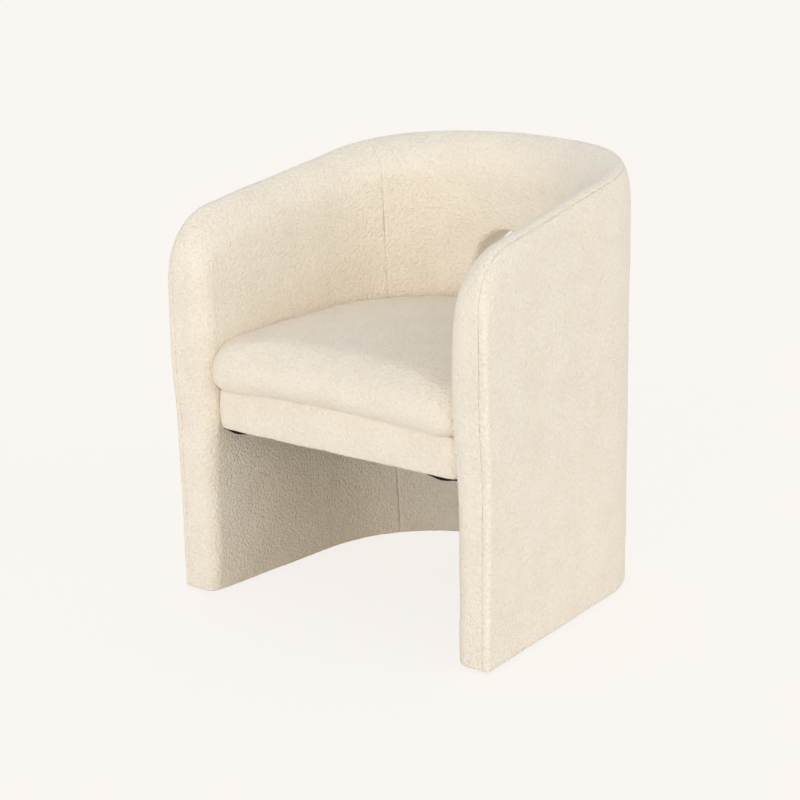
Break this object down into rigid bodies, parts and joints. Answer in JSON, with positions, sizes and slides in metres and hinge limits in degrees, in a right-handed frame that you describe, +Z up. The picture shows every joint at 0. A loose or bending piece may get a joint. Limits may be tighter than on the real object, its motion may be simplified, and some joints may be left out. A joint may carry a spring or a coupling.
{
  "type": "upholstered dining armchair",
  "caption": "Tub-shaped dining armchair in cream looped boucle: a curved wall down to the floor with a sloping rim, an opening in the back, and a crowned seat between the arms.",
  "frame": {"origin": "on the floor, under the middle of the plan", "axes": "+Z up, the chair faces -Y, +X to the sitter's left"},
  "size_m": [0.6384, 0.59, 0.7385],
  "materials": {
    "boucle": "cream looped boucle",
    "foam": "open-cell upholstery foam",
    "frame_wood": "pine and plywood, unfinished",
    "board": "bent board",
    "black_cambric": "black non-woven cloth",
    "webbing": "elastic webbing",
    "glide_plastic": "dark plastic",
    "zinc_steel": "zinc-plated steel"
  },
  "bodies": {
    "root": {"glides": "glide_plastic", "bottom_cloth": "black_cambric", "base_ring": "frame_wood", "rim_rail": "frame_wood", "front_post_left": "frame_wood", "front_post_right": "frame_wood", "side_post_left": "frame_wood", "side_post_right": "frame_wood", "rear_post_left": "frame_wood", "rear_post_right": "frame_wood", "ledger_left": "frame_wood", "ledger_right": "frame_wood", "corner_rib_left": "frame_wood", "corner_rib_right": "frame_wood", "cutout_sill": "frame_wood", "cutout_header": "frame_wood", "outer_board": "board", "inner_board": "board", "foam_left_arm": "foam", "foam_back": "foam", "foam_right_arm": "foam", "cover_outside": "boucle", "cover_inside_left_arm": "boucle", "cover_inside_back": "boucle", "cover_inside_right_arm": "boucle", "cutout_lining": "boucle", "threaded_inserts": "zinc_steel", "seat_front_rail": "frame_wood", "seat_left_rail": "frame_wood", "seat_right_rail": "frame_wood", "seat_rear_rail": "frame_wood", "seat_stretcher": "frame_wood", "corner_blocks": "frame_wood", "webbing_cross": "webbing", "webbing_long": "webbing", "seat_foam": "foam", "seat_cover": "boucle", "apron_cover": "boucle", "dust_cover": "black_cambric", "bolt_washers": "zinc_steel", "seat_bolts": "zinc_steel"}
  },
  "joints": []
}
